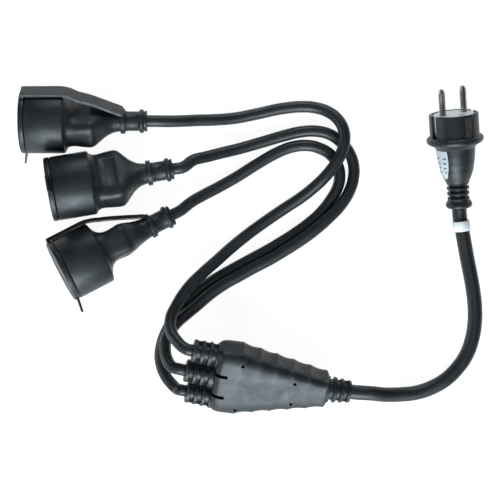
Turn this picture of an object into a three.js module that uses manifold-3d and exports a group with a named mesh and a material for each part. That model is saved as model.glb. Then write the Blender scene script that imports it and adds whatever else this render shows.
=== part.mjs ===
// Three-way power cord splitter: one earthed plug, one trunk cord, a moulded splice block,
// three branch cords and three coupler sockets with hinged rubber lids.
// Millimetres, +Z up. The whole lies on a flat surface at z = 0.

import * as THREE from 'three';
import { mergeVertices } from 'three/addons/utils/BufferGeometryUtils.js';
import Module from 'manifold-3d';

const wasm = await Module();
wasm.setup();

const rad = THREE.MathUtils.degToRad;

// Shared fits
const seatGap = 0.3;
const pinPitch = 19;
const pinDiameter = 4.8;

// Cords
const trunkDiameter = 11;
const branchDiameter = 8.8;
const cordSides = 10;
const cordLead = 7;
const glandLead = 4;

// Plug
const plugFrontRadius = 18.2;
const plugFrontLength = 16.5;
const plugFlangeRadius = 21;
const plugFlangeLength = 9;
const plugGripRadius = 14;
const plugGripLength = 26;
const plugNeckRadius = 8.2;
const plugReliefLength = 13;
const plugBeadRadius = 9.9;
const plugBeadLength = 6.5;
const plugPinReach = 19;
const plugPinTip = 3;
const pinCarrierRadius = 15.4;
const pinCarrierDepth = 15;
const guideWidth = 5.2;
const guideDepth = 4;
const earthHoleDiameter = 5.2;
const earthHoleOffset = 10;
const earthHoleDepth = 9;
const earthStripWidth = 6;
const earthStripThickness = 0.8;
const inlayWidth = 12.5;
const inlayLength = 22;
const inlayThickness = 1.2;
const inlaySlots = 5;

// Marker sleeve on the trunk cord
const markerLength = 7.6;
const markerWall = 0.5;
const markerGap = 0.5;
const markerDistance = 10;

// Splice block
const blockLength = 81;
const blockWideHalf = 28;
const blockNarrowHalf = 12.5;
const blockWideHalfHeight = 14.2;
const blockNarrowHalfHeight = 10.8;
const scallopStart = 15.6;
const scallopPitch = 12.8;
const scallopCount = 5;
const scallopDepth = 1.3;
const glandPitch = 19;
const glandTipRadius = 8.4;
const glandRootRadius = 9.4;
const glandTurn = 5;
const outerGlandLength = 21.3;
const middleGlandLength = 24.4;
const trunkGlandTipRadius = 8.2;
const trunkGlandRootRadius = 10.6;
const trunkGlandLength = 17.5;
const ringPitch = 5.7;
const slotLength = 3.1;
const slotDepth = 2;
const webThickness = 2.2;
const wireWayRadius = 1.6;
const coreLength = 40;
const coreWidth = 26;
const coreHeight = 12;
const coreStart = 12;
const spliceRadius = 2.7;
const spliceLength = 34;
const splicePitch = 8;
const coverPinRadius = 1.3;
const coverPinDepth = 3;

// Coupler socket
const cupRadius = 23.5;
const cupLength = 28;
const cupRim = 0.8;
const paddleHalfWidth = 20.2;
const paddleHalfHeight = 11.9;
const paddleStart = 36;
const paddleEnd = 47.5;
const neckStart = 63;
const neckRadius = 7.6;
const ringSeatStart = 68;
const ringSeatLength = 4.4;
const sleeveRadius = 7.2;
const beadCentre = 84;
const couplerBeadRadius = 8.8;
const couplerLength = 87.9;
const recessRadius = 19.6;
const recessDepth = 17.5;
const insertRadius = 21.2;
const insertRecess = 1;
const pinHoleRadius = 2.8;
const towerRadius = 5.2;
const towerLength = 15;
const contactRadius = 3.5;
const contactBore = 2.45;
const contactLength = 19;
const clipWidth = 6;
const clipThickness = 0.9;
const clipOffset = 18.1;
const clipStart = 5.2;
const insertBase = cupLength - insertRecess - recessDepth - clipThickness - 2 * seatGap;

// Lid, pull tab, strap and neck ring
const lidThickness = 4.1;
const bossRadius = 18.5;
const bossWall = 2.6;
const bossDepth = 3.7;
const strapThickness = 2.4;
const strapWidth = 12.4;
const tabWidth = 11;
const tabLength = 10;
const tabThickness = 1.7;
const tabLean = 9;
const neckRingWall = 2;
const neckRingLength = 3.4;

// Where each piece lies
const plugFace = new THREE.Vector3(196.2, 100.3, 26.4);
const plugHeading = -84.4;
const plugPitch = 14.4;
const plugTurn = -27;
const blockRoot = new THREE.Vector3(23.5, -92.2, 23.8);
const blockHeading = -7.4;
const blockPitch = 4.5;
const blockRoll = 33;
const couplerPlaces = [
  { face: [-121, 94.5, 24.5], heading: 0.2, pitch: 1, bodyTurn: -135, lidTurn: -126, strapBow: 1 },
  { face: [-100.4, 44, 30.2], heading: 9.8, pitch: 5, bodyTurn: 26, lidTurn: 5, strapBow: 6 },
  { face: [-91.8, -16.2, 29], heading: 27.6, pitch: 10, bodyTurn: -90, lidTurn: -90, strapBow: 1.2 },
];

// Cord routes between their two ends, chosen by hand
const trunkRoute = [
  [137.5, -106.3, 14.6],
  [147.4, -107.6, 11],
  [159.6, -107.7, 8],
  [171.6, -106.5, 6.2],
  [183.1, -102.7, 5.6],
  [193.4, -96.7, 5.6],
  [202, -88.3, 5.6],
  [208.8, -78.3, 5.6],
  [212.9, -67.1, 5.6],
  [214.9, -55.2, 5.6],
  [215.1, -43.2, 5.6],
  [213.9, -31.2, 5.6],
  [211.9, -19.4, 5.6],
  [209.6, -7.7, 5.6],
  [207.4, 4.1, 6],
  [205.4, 14.9, 6.7],
];
const branchRoutes = [
  [
    [-6.6, -66, 32.5],
    [-11, -58.8, 27.2],
    [-11.3, -50.5, 23],
    [-7.5, -41.6, 19.4],
    [1.2, -28.1, 16],
    [12.5, -16.6, 12.8],
    [21.9, -8.3, 10],
    [31.2, 0.1, 7.4],
    [43.8, 10.5, 5.2],
    [58.5, 21.3, 4.5],
    [73.5, 31.5, 5.2],
    [85.1, 39.1, 7.4],
    [94.6, 46.6, 10.2],
    [103.1, 54.8, 13],
    [109.9, 63.4, 14],
    [114.9, 72.3, 14.2],
    [117, 80.5, 14],
    [116.6, 88.8, 12.8],
    [112.7, 96.9, 10],
    [105.4, 103.1, 7],
    [96.4, 106.3, 5.2],
    [86.7, 107.2, 4.6],
    [71, 105.8, 4.5],
    [53.4, 102.1, 4.5],
    [35.7, 98.5, 6.2],
    [20.8, 96.9, 10.2],
    [8.9, 96.2, 14.2],
    [-2.1, 95.4, 17.8],
    [-11.6, 94.9, 20.6],
  ],
  [
    [-10.3, -85.7, 24.6],
    [-14.3, -80, 20.8],
    [-15.7, -73.9, 18],
    [-15.6, -68.1, 16.2],
    [-12.9, -61.5, 14.6],
    [-7.9, -54.6, 13],
    [-0.7, -48.1, 11.4],
    [6.8, -41.9, 10.8],
    [17.7, -32.6, 10.7],
    [28.7, -25, 10.7],
    [39.7, -18.9, 10.7],
    [50.5, -12.9, 10.7],
    [61.7, -7.1, 10.7],
    [72.3, -0.8, 10.7],
    [83.5, 6.3, 10.7],
    [94.6, 14.3, 10.6],
    [105.1, 23.4, 10],
    [115.2, 34.1, 8.2],
    [121.7, 44.9, 6.1],
    [124.3, 53.5, 4.9],
    [124.5, 63.3, 4.5],
    [121, 73.3, 4.5],
    [114.7, 81, 4.5],
    [106.9, 86.4, 4.5],
    [97.8, 88.8, 4.5],
    [85.7, 88.5, 4.5],
    [73.9, 85.9, 4.5],
    [56.7, 80.9, 4.5],
    [39.4, 75.8, 6.4],
    [26.1, 72.3, 10.4],
    [14.2, 69, 15],
    [5.2, 66.4, 18.6],
  ],
  [
    [-6.6, -103.3, 13.6],
    [-11.6, -99.3, 10.6],
    [-16.7, -92.5, 7.4],
    [-19.2, -86.2, 5.6],
    [-20.2, -79.6, 4.8],
    [-19.5, -72.6, 4.5],
    [-17, -64.2, 4.5],
    [-13.9, -57.8, 4.5],
    [-9.9, -50.1, 4.5],
    [-3.9, -41.9, 4.5],
    [4.3, -33.9, 4.5],
    [13.5, -26.9, 4.5],
    [24.6, -19.6, 4.5],
    [36.3, -13.1, 4.5],
    [47.1, -7.2, 4.5],
    [58.3, -1.2, 4.5],
    [68.9, 5, 4.5],
    [80.4, 12.3, 4.5],
    [90.9, 19.9, 4.5],
    [100, 28.1, 4.5],
    [107.6, 37.8, 4.5],
    [112.4, 46.4, 4.5],
    [114.1, 54.3, 4.5],
    [112.9, 62.6, 4.5],
    [108, 70.6, 4.5],
    [98.6, 76.3, 4.5],
    [89.4, 78.2, 4.5],
    [78.8, 77.1, 4.5],
    [68, 73.1, 4.5],
    [52.4, 64.3, 4.5],
    [37.3, 54.8, 4.6],
    [23.8, 47.1, 5.4],
    [12.7, 41.2, 7.4],
    [3.2, 35.6, 9.8],
  ],
];

const rubber = { color: 0x20252a, roughness: 0.62, metalness: 0 };
const hardBlack = { color: 0x17191b, roughness: 0.45, metalness: 0 };
const paleGrey = { color: 0xd9dadb, roughness: 0.5, metalness: 0 };
const inlayGrey = { color: 0x8f979c, roughness: 0.5, metalness: 0 };
const white = { color: 0xf2f2f0, roughness: 0.6, metalness: 0 };
const nickel = { color: 0xc9c3b4, roughness: 0.25, metalness: 1 };
const brass = { color: 0xb99a55, roughness: 0.3, metalness: 1 };

const object = new THREE.Group();

function toSolid(geometry) {
  const plain = geometry.clone();
  plain.deleteAttribute('normal');
  plain.deleteAttribute('uv');
  const merged = mergeVertices(plain, 1e-4);
  const index = merged.index.array;
  const position = merged.attributes.position;
  const corners = [];
  let volume = 0;
  const a = new THREE.Vector3();
  const b = new THREE.Vector3();
  const c = new THREE.Vector3();
  for (let i = 0; i < index.length; i += 3) {
    if (index[i] === index[i + 1] || index[i + 1] === index[i + 2] || index[i] === index[i + 2]) {
      continue;
    }
    corners.push(index[i], index[i + 1], index[i + 2]);
    a.fromBufferAttribute(position, index[i]);
    b.fromBufferAttribute(position, index[i + 1]);
    c.fromBufferAttribute(position, index[i + 2]);
    volume += a.dot(b.cross(c));
  }
  if (volume < 0) {
    corners.reverse();
  }
  return new wasm.Manifold(new wasm.Mesh({
    numProp: 3,
    vertProperties: Float32Array.from(position.array),
    triVerts: Uint32Array.from(corners),
  }));
}

function addPiece(parent, name, solid, look) {
  const data = solid.getMesh();
  const geometry = new THREE.BufferGeometry();
  geometry.setAttribute('position', new THREE.BufferAttribute(data.vertProperties, 3));
  geometry.setIndex(new THREE.BufferAttribute(data.triVerts, 1));
  geometry.computeVertexNormals();
  const mesh = new THREE.Mesh(geometry, new THREE.MeshStandardMaterial(look));
  mesh.name = name;
  parent.add(mesh);
  return mesh;
}

// Body of revolution about +X from [distance along X, radius] pairs
function revolve(profile, segments) {
  const points = profile.map(([along, radius]) => new THREE.Vector2(radius, along));
  const geometry = new THREE.LatheGeometry(points, segments);
  geometry.rotateZ(-Math.PI / 2);
  return toSolid(geometry);
}

function superRadius(angle, halfY, halfZ, power) {
  const y = Math.abs(Math.cos(angle)) / halfY;
  const z = Math.abs(Math.sin(angle)) / halfZ;
  return (y ** power + z ** power) ** (-1 / power);
}

// Body along +X whose section changes from ring to ring: [along, half Y, half Z, squareness]
function mould(rings, segments) {
  const first = rings[0];
  const last = rings[rings.length - 1];
  const profile = [[first[0], 0], ...rings.map(([along]) => [along, 1]), [last[0], 0]];
  const points = profile.map(([along, radius]) => new THREE.Vector2(radius, along));
  const geometry = new THREE.LatheGeometry(points, segments);
  const position = geometry.attributes.position;
  for (let i = 0; i < position.count; i += 1) {
    const ring = i % points.length;
    const turn = Math.floor(i / points.length) % segments;
    const angle = turn * 2 * Math.PI / segments;
    const along = position.getY(i);
    if (ring === 0 || ring === points.length - 1) {
      position.setXYZ(i, along, 0, 0);
    } else {
      const [, halfY, halfZ, power] = rings[ring - 1];
      const radius = superRadius(angle, halfY, halfZ, power);
      position.setXYZ(i, along, radius * Math.cos(angle), radius * Math.sin(angle));
    }
  }
  return toSolid(geometry);
}

function block(from, to) {
  const low = new THREE.Vector3(...from);
  const high = new THREE.Vector3(...to);
  const size = high.clone().sub(low);
  const geometry = new THREE.BoxGeometry(size.x, size.y, size.z);
  geometry.translate((low.x + high.x) / 2, (low.y + high.y) / 2, (low.z + high.z) / 2);
  return toSolid(geometry);
}

function rod(radius, from, to, segments) {
  const start = new THREE.Vector3(...from);
  const end = new THREE.Vector3(...to);
  const geometry = new THREE.CylinderGeometry(radius, radius, start.distanceTo(end), segments);
  const direction = end.clone().sub(start).normalize();
  const turn = new THREE.Quaternion().setFromUnitVectors(new THREE.Vector3(0, 1, 0), direction);
  geometry.applyQuaternion(turn);
  const middle = start.clone().add(end).multiplyScalar(0.5);
  geometry.translate(middle.x, middle.y, middle.z);
  return toSolid(geometry);
}

// Flat outline in the X-Z plane, given thickness along Y about a middle
function plate(outline, width, middle) {
  const shape = new THREE.Shape(outline.map(([x, z]) => new THREE.Vector2(x, z)));
  const geometry = new THREE.ExtrudeGeometry(shape, { depth: width, bevelEnabled: false });
  geometry.rotateX(Math.PI / 2);
  geometry.translate(0, middle + width / 2, 0);
  return toSolid(geometry);
}

function moved(solid, matrix) {
  return solid.transform(matrix.elements);
}

// Strain relief along +X with ring slots bridged by a web on either side
function relief(start, length, startRadius, endRadius, slots, slotStart, segments) {
  const radiusAt = (along) => startRadius + (endRadius - startRadius) * (along - start) / length;
  const profile = [[start, 0], [start, radiusAt(start)]];
  for (let i = 0; i < slots; i += 1) {
    const from = slotStart + i * ringPitch;
    const to = from + slotLength;
    profile.push([from, radiusAt(from)]);
    profile.push([from, radiusAt(from) - slotDepth]);
    profile.push([to, radiusAt(to) - slotDepth]);
    profile.push([to, radiusAt(to)]);
  }
  profile.push([start + length, radiusAt(start + length)]);
  profile.push([start + length, 0]);
  const slotted = revolve(profile, segments);
  const whole = revolve([
    [slotStart - 0.4, 0],
    [slotStart - 0.4, radiusAt(slotStart - 0.4) - 0.25],
    [slotStart + slots * ringPitch - 1, radiusAt(slotStart + slots * ringPitch - 1) - 0.25],
    [slotStart + slots * ringPitch - 1, 0],
  ], segments);
  const half = webThickness / 2;
  const reach = Math.max(startRadius, endRadius) + 1;
  const webs = block([start, -reach, -half], [start + length, reach, half]);
  return slotted.add(whole.intersect(webs));
}

function placeAlongX(group, position, heading, pitch, roll) {
  group.position.copy(position);
  group.rotation.order = 'ZYX';
  group.rotation.set(rad(roll), rad(pitch), rad(heading));
  group.updateMatrixWorld(true);
}

// The middle of a mouth and the way out of it, from its place in its group
function endOf(group, place, outward) {
  const matrix = group.matrixWorld.clone().multiply(place);
  const point = new THREE.Vector3().applyMatrix4(matrix);
  const direction = new THREE.Vector3(outward, 0, 0).transformDirection(matrix);
  return { point, direction };
}

// A round cord from one piece's mouth to the next, face to face with both
function addCord(name, diameter, from, to, route, steps, look) {
  const start = from.point.clone().addScaledVector(from.direction, seatGap);
  const end = to.point.clone().addScaledVector(to.direction, seatGap);
  const points = [
    start,
    start.clone().addScaledVector(from.direction, glandLead),
    ...route.map(([x, y, z]) => new THREE.Vector3(x, y, z)),
    end.clone().addScaledVector(to.direction, cordLead),
    end,
  ];
  const curve = new THREE.CatmullRomCurve3(points, false, 'centripetal');
  const section = new THREE.Shape();
  for (let i = 0; i < cordSides; i += 1) {
    const angle = i * 2 * Math.PI / cordSides;
    const x = diameter / 2 * Math.cos(angle);
    const y = diameter / 2 * Math.sin(angle);
    if (i === 0) {
      section.moveTo(x, y);
    } else {
      section.lineTo(x, y);
    }
  }
  const geometry = new THREE.ExtrudeGeometry(section, { steps, extrudePath: curve, bevelEnabled: false });
  addPiece(object, name, toSolid(geometry), look);
  return curve;
}

function buildPlug() {
  const plug = new THREE.Group();
  const flangeEnd = plugFrontLength + plugFlangeLength;
  const gripEnd = flangeEnd + plugGripLength;
  const reliefEnd = gripEnd + plugReliefLength;
  const plugLength = reliefEnd + plugBeadLength;
  const gripRings = [
    [plugFrontLength - 1, plugFrontRadius, plugFrontRadius, 2],
    [plugFrontLength, plugFlangeRadius - 1.2, plugFlangeRadius - 1.2, 2],
    [plugFrontLength + 1.2, plugFlangeRadius, plugFlangeRadius, 2],
    [flangeEnd - 3, plugFlangeRadius, plugFlangeRadius, 2],
    [flangeEnd - 1, plugFlangeRadius - 1.6, plugFlangeRadius - 1.6, 2],
    [flangeEnd, plugGripRadius + 0.6, plugGripRadius + 0.6, 2],
    [flangeEnd + plugGripLength * 0.45, plugGripRadius * 0.86, plugGripRadius * 0.86, 2],
    [flangeEnd + plugGripLength * 0.8, plugNeckRadius * 1.22, plugNeckRadius * 1.22, 2],
    [gripEnd + 1, plugNeckRadius, plugNeckRadius, 2],
  ];
  const front = revolve([
    [0, 0],
    [0, plugFrontRadius - 0.8],
    [0.8, plugFrontRadius],
    [plugFrontLength, plugFrontRadius],
    [plugFrontLength, 0],
  ], 32);
  const grip = mould(gripRings, 28);
  const neck = relief(gripEnd - 1, plugReliefLength + 1, plugNeckRadius, plugNeckRadius, 2,
    gripEnd + 2.2, 16);
  const bead = revolve([
    [reliefEnd - 0.5, 0],
    [reliefEnd - 0.5, plugBeadRadius - 1.6],
    [reliefEnd + 0.8, plugBeadRadius - 0.3],
    [reliefEnd + plugBeadLength * 0.45, plugBeadRadius],
    [plugLength - 1.6, plugBeadRadius - 0.5],
    [plugLength, plugBeadRadius - 2.4],
    [plugLength, 0],
  ], 20);
  const guideFloor = plugFrontRadius - guideDepth;
  const guide = (side) => block(
    [-1, side > 0 ? guideFloor : -plugFrontRadius - 2, -guideWidth / 2],
    [plugFrontLength + 0.01, side > 0 ? plugFrontRadius + 2 : -guideFloor, guideWidth / 2],
  );
  const carrierHole = revolve([
    [-1, 0],
    [-1, pinCarrierRadius + seatGap],
    [pinCarrierDepth + seatGap, pinCarrierRadius + seatGap],
    [pinCarrierDepth + seatGap, 0],
  ], 28);
  const stripOuter = plugFrontRadius - 0.5;
  const stripInner = stripOuter - earthStripThickness;
  const bridgeStart = pinCarrierDepth + seatGap;
  const bridgeEnd = bridgeStart + 1.2;
  const stripStart = 1.6;
  const half = earthStripWidth / 2;
  const stripSlot = block(
    [stripStart - seatGap, -half - seatGap, -plugFrontRadius - 2],
    [bridgeEnd + seatGap, half + seatGap, plugFrontRadius + 2],
  );
  const body = front.add(grip).add(neck).add(bead)
    .subtract(guide(1))
    .subtract(guide(-1))
    .subtract(carrierHole)
    .subtract(stripSlot);

  // Leaf-shaped inlays let into both sides of the grip, in line with the pins
  const inlayMiddle = flangeEnd + 1.2 + inlayLength / 2;
  const leaf = new THREE.Shape();
  leaf.moveTo(-inlayLength / 2, -inlayWidth * 0.42);
  leaf.bezierCurveTo(-inlayLength * 0.2, -inlayWidth * 0.62, inlayLength * 0.3, -inlayWidth * 0.45,
    inlayLength / 2, 0);
  leaf.bezierCurveTo(inlayLength * 0.3, inlayWidth * 0.45, -inlayLength * 0.2, inlayWidth * 0.62,
    -inlayLength / 2, inlayWidth * 0.42);
  const leafSolid = (grow) => {
    const outline = leaf.getPoints(4).map((p) => new THREE.Vector2(
      p.x * (1 + 2 * grow / inlayLength),
      p.y * (1 + 2 * grow / inlayWidth),
    ));
    const geometry = new THREE.ExtrudeGeometry(new THREE.Shape(outline), {
      depth: plugFlangeRadius,
      bevelEnabled: false,
    });
    geometry.rotateX(Math.PI / 2);
    geometry.translate(inlayMiddle, 0, 0);
    return toSolid(geometry);
  };
  const shrunk = (less) => mould(gripRings.map(([along, halfY, halfZ, power]) => (
    [along, halfY - less, halfZ - less, power])), 28);
  const gripSkin = shrunk(0.1);
  const pocketFloor = shrunk(inlayThickness + seatGap);
  const inlayFloor = shrunk(inlayThickness);
  const pocket = leafSolid(seatGap);
  const flip = new THREE.Matrix4().makeRotationX(Math.PI);
  const pocketCut = pocket.add(moved(pocket, flip)).subtract(pocketFloor);
  let inlay = leafSolid(0).intersect(gripSkin).subtract(inlayFloor);
  for (let i = 0; i < inlaySlots; i += 1) {
    const along = inlayMiddle - inlayLength * 0.34 + i * inlayLength * 0.15;
    const reach = inlayWidth * (0.27 - 0.03 * i);
    inlay = inlay.subtract(block(
      [along - 0.55, -plugFlangeRadius, -reach],
      [along + 0.55, -plugGripRadius * 0.4, reach],
    ).subtract(shrunk(0.6)));
  }
  addPiece(plug, 'plug_body', body.subtract(pocketCut), rubber);
  addPiece(plug, 'plug_grip_inlay_left', inlay, inlayGrey);
  addPiece(plug, 'plug_grip_inlay_right', moved(inlay, flip), inlayGrey);

  const shank = pinDiameter / 2;
  const pinRoot = pinCarrierDepth - 3;
  const pinHole = (side) => rod(
    shank + seatGap,
    [-1, side * pinPitch / 2, 0],
    [pinRoot, side * pinPitch / 2, 0],
    12,
  );
  const earthHole = rod(
    earthHoleDiameter / 2,
    [-1, 0, earthHoleOffset],
    [earthHoleDepth, 0, earthHoleOffset],
    12,
  );
  const carrierSlots = block(
    [stripStart - seatGap, -half - seatGap, -pinCarrierRadius - 1],
    [pinCarrierDepth + 1, half + seatGap, -stripInner + 2 * seatGap],
  );
  const carrier = revolve([
    [0.3, 0],
    [0.3, pinCarrierRadius - 0.5],
    [0.8, pinCarrierRadius],
    [pinCarrierDepth, pinCarrierRadius],
    [pinCarrierDepth, 0],
  ], 28)
    .subtract(pinHole(1))
    .subtract(pinHole(-1))
    .subtract(earthHole)
    .subtract(carrierSlots);
  addPiece(plug, 'plug_pin_carrier', carrier, paleGrey);
  const pin = (side) => moved(revolve([
    [-plugPinReach, 0],
    [-plugPinReach, shank * 0.42],
    [-plugPinReach + plugPinTip * 0.4, shank * 0.8],
    [-plugPinReach + plugPinTip, shank],
    [pinRoot - seatGap, shank],
    [pinRoot - seatGap, 0],
  ], 12), new THREE.Matrix4().makeTranslation(0, side * pinPitch / 2, 0));
  addPiece(plug, 'plug_pin_left', pin(-1), nickel);
  addPiece(plug, 'plug_pin_right', pin(1), nickel);
  const bracket = plate([
    [stripStart, stripInner],
    [stripStart, stripOuter],
    [bridgeEnd, stripOuter],
    [bridgeEnd, -stripOuter],
    [stripStart, -stripOuter],
    [stripStart, -stripInner],
    [bridgeEnd - 0.9, -stripInner],
    [bridgeEnd - 0.9, stripInner],
  ], earthStripWidth, 0);
  addPiece(plug, 'plug_earth_bracket', bracket, nickel);
  placeAlongX(plug, plugFace, plugHeading, plugPitch, plugTurn);
  object.add(plug);
  return endOf(plug, new THREE.Matrix4().makeTranslation(plugLength, 0, 0), 1);
}

function buildSplitter() {
  const splitter = new THREE.Group();
  const narrowing = (along) => (
    Math.min(1, Math.max(0, (along - scallopStart) / (scallopCount * scallopPitch))));
  const halfWidthAt = (along) => (
    blockWideHalf + (blockNarrowHalf - blockWideHalf) * narrowing(along));
  const halfHeightAt = (along) => (
    blockWideHalfHeight + (blockNarrowHalfHeight - blockWideHalfHeight) * narrowing(along));
  const rings = [
    [-3.5, blockWideHalf - 4.5, blockWideHalfHeight - 5, 3.4],
    [-2.4, blockWideHalf - 1.8, blockWideHalfHeight - 2.2, 3.6],
    [0, blockWideHalf - 0.5, blockWideHalfHeight - 0.6, 3.8],
    [6, blockWideHalf, blockWideHalfHeight, 3.8],
  ];
  const stepsPerScallop = 3;
  for (let i = 0; i <= scallopCount * stepsPerScallop; i += 1) {
    const along = scallopStart + i * scallopPitch / stepsPerScallop;
    const wave = Math.abs(Math.sin(Math.PI * i / stepsPerScallop));
    rings.push([along, halfWidthAt(along) - scallopDepth * wave ** 1.5, halfHeightAt(along), 3.6]);
  }
  rings.push([blockLength, blockNarrowHalf - 1.2, blockNarrowHalfHeight - 0.8, 2.6]);
  let body = mould(rings, 32);

  const glands = [
    { across: glandPitch, length: outerGlandLength },
    { across: 0, length: middleGlandLength },
    { across: -glandPitch, length: outerGlandLength },
  ];
  const mouths = [];
  const cavityStart = coreStart - seatGap;
  for (const gland of glands) {
    const slotStart = -gland.length + 2.6;
    const tube = relief(-gland.length, gland.length + 3, glandTipRadius, glandRootRadius, 3,
      slotStart, 16);
    const bend = new THREE.Matrix4().makeTranslation(-gland.length / 2, gland.across, 0)
      .multiply(new THREE.Matrix4().makeRotationZ(-rad(glandTurn)))
      .multiply(new THREE.Matrix4().makeTranslation(gland.length / 2, 0, 0));
    body = body.add(moved(tube, bend));
    const inner = Math.sign(gland.across) * splicePitch;
    const way = rod(wireWayRadius, [-gland.length - 1, 0, 0], [1, 0, 0], 8);
    const root = new THREE.Vector3(0, 0, 0).applyMatrix4(bend);
    body = body.subtract(moved(way, bend));
    body = body.subtract(rod(wireWayRadius, root.toArray(), [cavityStart + 1, inner, 0], 8));
    mouths.push(bend.clone().multiply(new THREE.Matrix4().makeTranslation(-gland.length, 0, 0)));
  }
  const trunkGland = relief(blockLength - 2, trunkGlandLength + 2, trunkGlandRootRadius,
    trunkGlandTipRadius, 3, blockLength + 1.6, 18);
  const totalLength = blockLength + trunkGlandLength;
  body = body.add(trunkGland);
  body = body.subtract(rod(
    wireWayRadius,
    [coreStart + coreLength - 1, 0, 0],
    [totalLength + 1, 0, 0],
    8,
  ));
  body = body.subtract(block(
    [cavityStart, -coreWidth / 2 - seatGap, -coreHeight / 2 - seatGap],
    [coreStart + coreLength + seatGap, coreWidth / 2 + seatGap, coreHeight / 2 + seatGap],
  ));
  const grooveEnd = 4;
  for (const side of [-1, 1]) {
    for (const face of [-1, 1]) {
      body = body.subtract(block(
        [-8, side * glandPitch / 2 - 0.9, face > 0 ? 3.4 : -blockWideHalfHeight - 1],
        [grooveEnd, side * glandPitch / 2 + 0.9, face > 0 ? blockWideHalfHeight + 1 : -3.4],
      ));
    }
  }
  const pinHoles = [
    [scallopStart, 20.4],
    [scallopStart, -20.4],
    [scallopStart + 3 * scallopPitch + 1.5, 9.4],
    [scallopStart + 3 * scallopPitch + 1.5, -9.4],
  ];
  for (const [along, across] of pinHoles) {
    const top = halfHeightAt(along) + 2;
    const floor = halfHeightAt(along) * 0.93 - coverPinDepth;
    body = body.subtract(rod(coverPinRadius, [along, across, floor], [along, across, top], 8));
  }
  addPiece(splitter, 'splitter_body', body, rubber);

  const coreEnd = coreStart + coreLength;
  let core = block(
    [coreStart, -coreWidth / 2, -coreHeight / 2],
    [coreEnd, coreWidth / 2, coreHeight / 2],
  );
  const names = ['splice_live', 'splice_earth', 'splice_neutral'];
  for (const [i, name] of names.entries()) {
    const across = (i - 1) * splicePitch;
    core = core.subtract(rod(
      spliceRadius + seatGap,
      [coreStart - 1, across, 0],
      [coreEnd + 1, across, 0],
      12,
    ));
    const from = coreStart + (coreLength - spliceLength) / 2;
    const splice = revolve([
      [from, 0],
      [from, spliceRadius],
      [from + spliceLength * 0.3, spliceRadius],
      [from + spliceLength * 0.4, spliceRadius * 0.8],
      [from + spliceLength * 0.6, spliceRadius * 0.8],
      [from + spliceLength * 0.7, spliceRadius],
      [from + spliceLength, spliceRadius],
      [from + spliceLength, 0],
    ], 12);
    addPiece(splitter, name, moved(splice, new THREE.Matrix4().makeTranslation(0, across, 0)), brass);
  }
  addPiece(splitter, 'splice_core', core, hardBlack);
  placeAlongX(splitter, blockRoot, blockHeading, blockPitch, blockRoll);
  object.add(splitter);
  return {
    branches: mouths.map((mouth) => endOf(splitter, mouth, -1)),
    trunk: endOf(splitter, new THREE.Matrix4().makeTranslation(totalLength, 0, 0), 1),
  };
}

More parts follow.
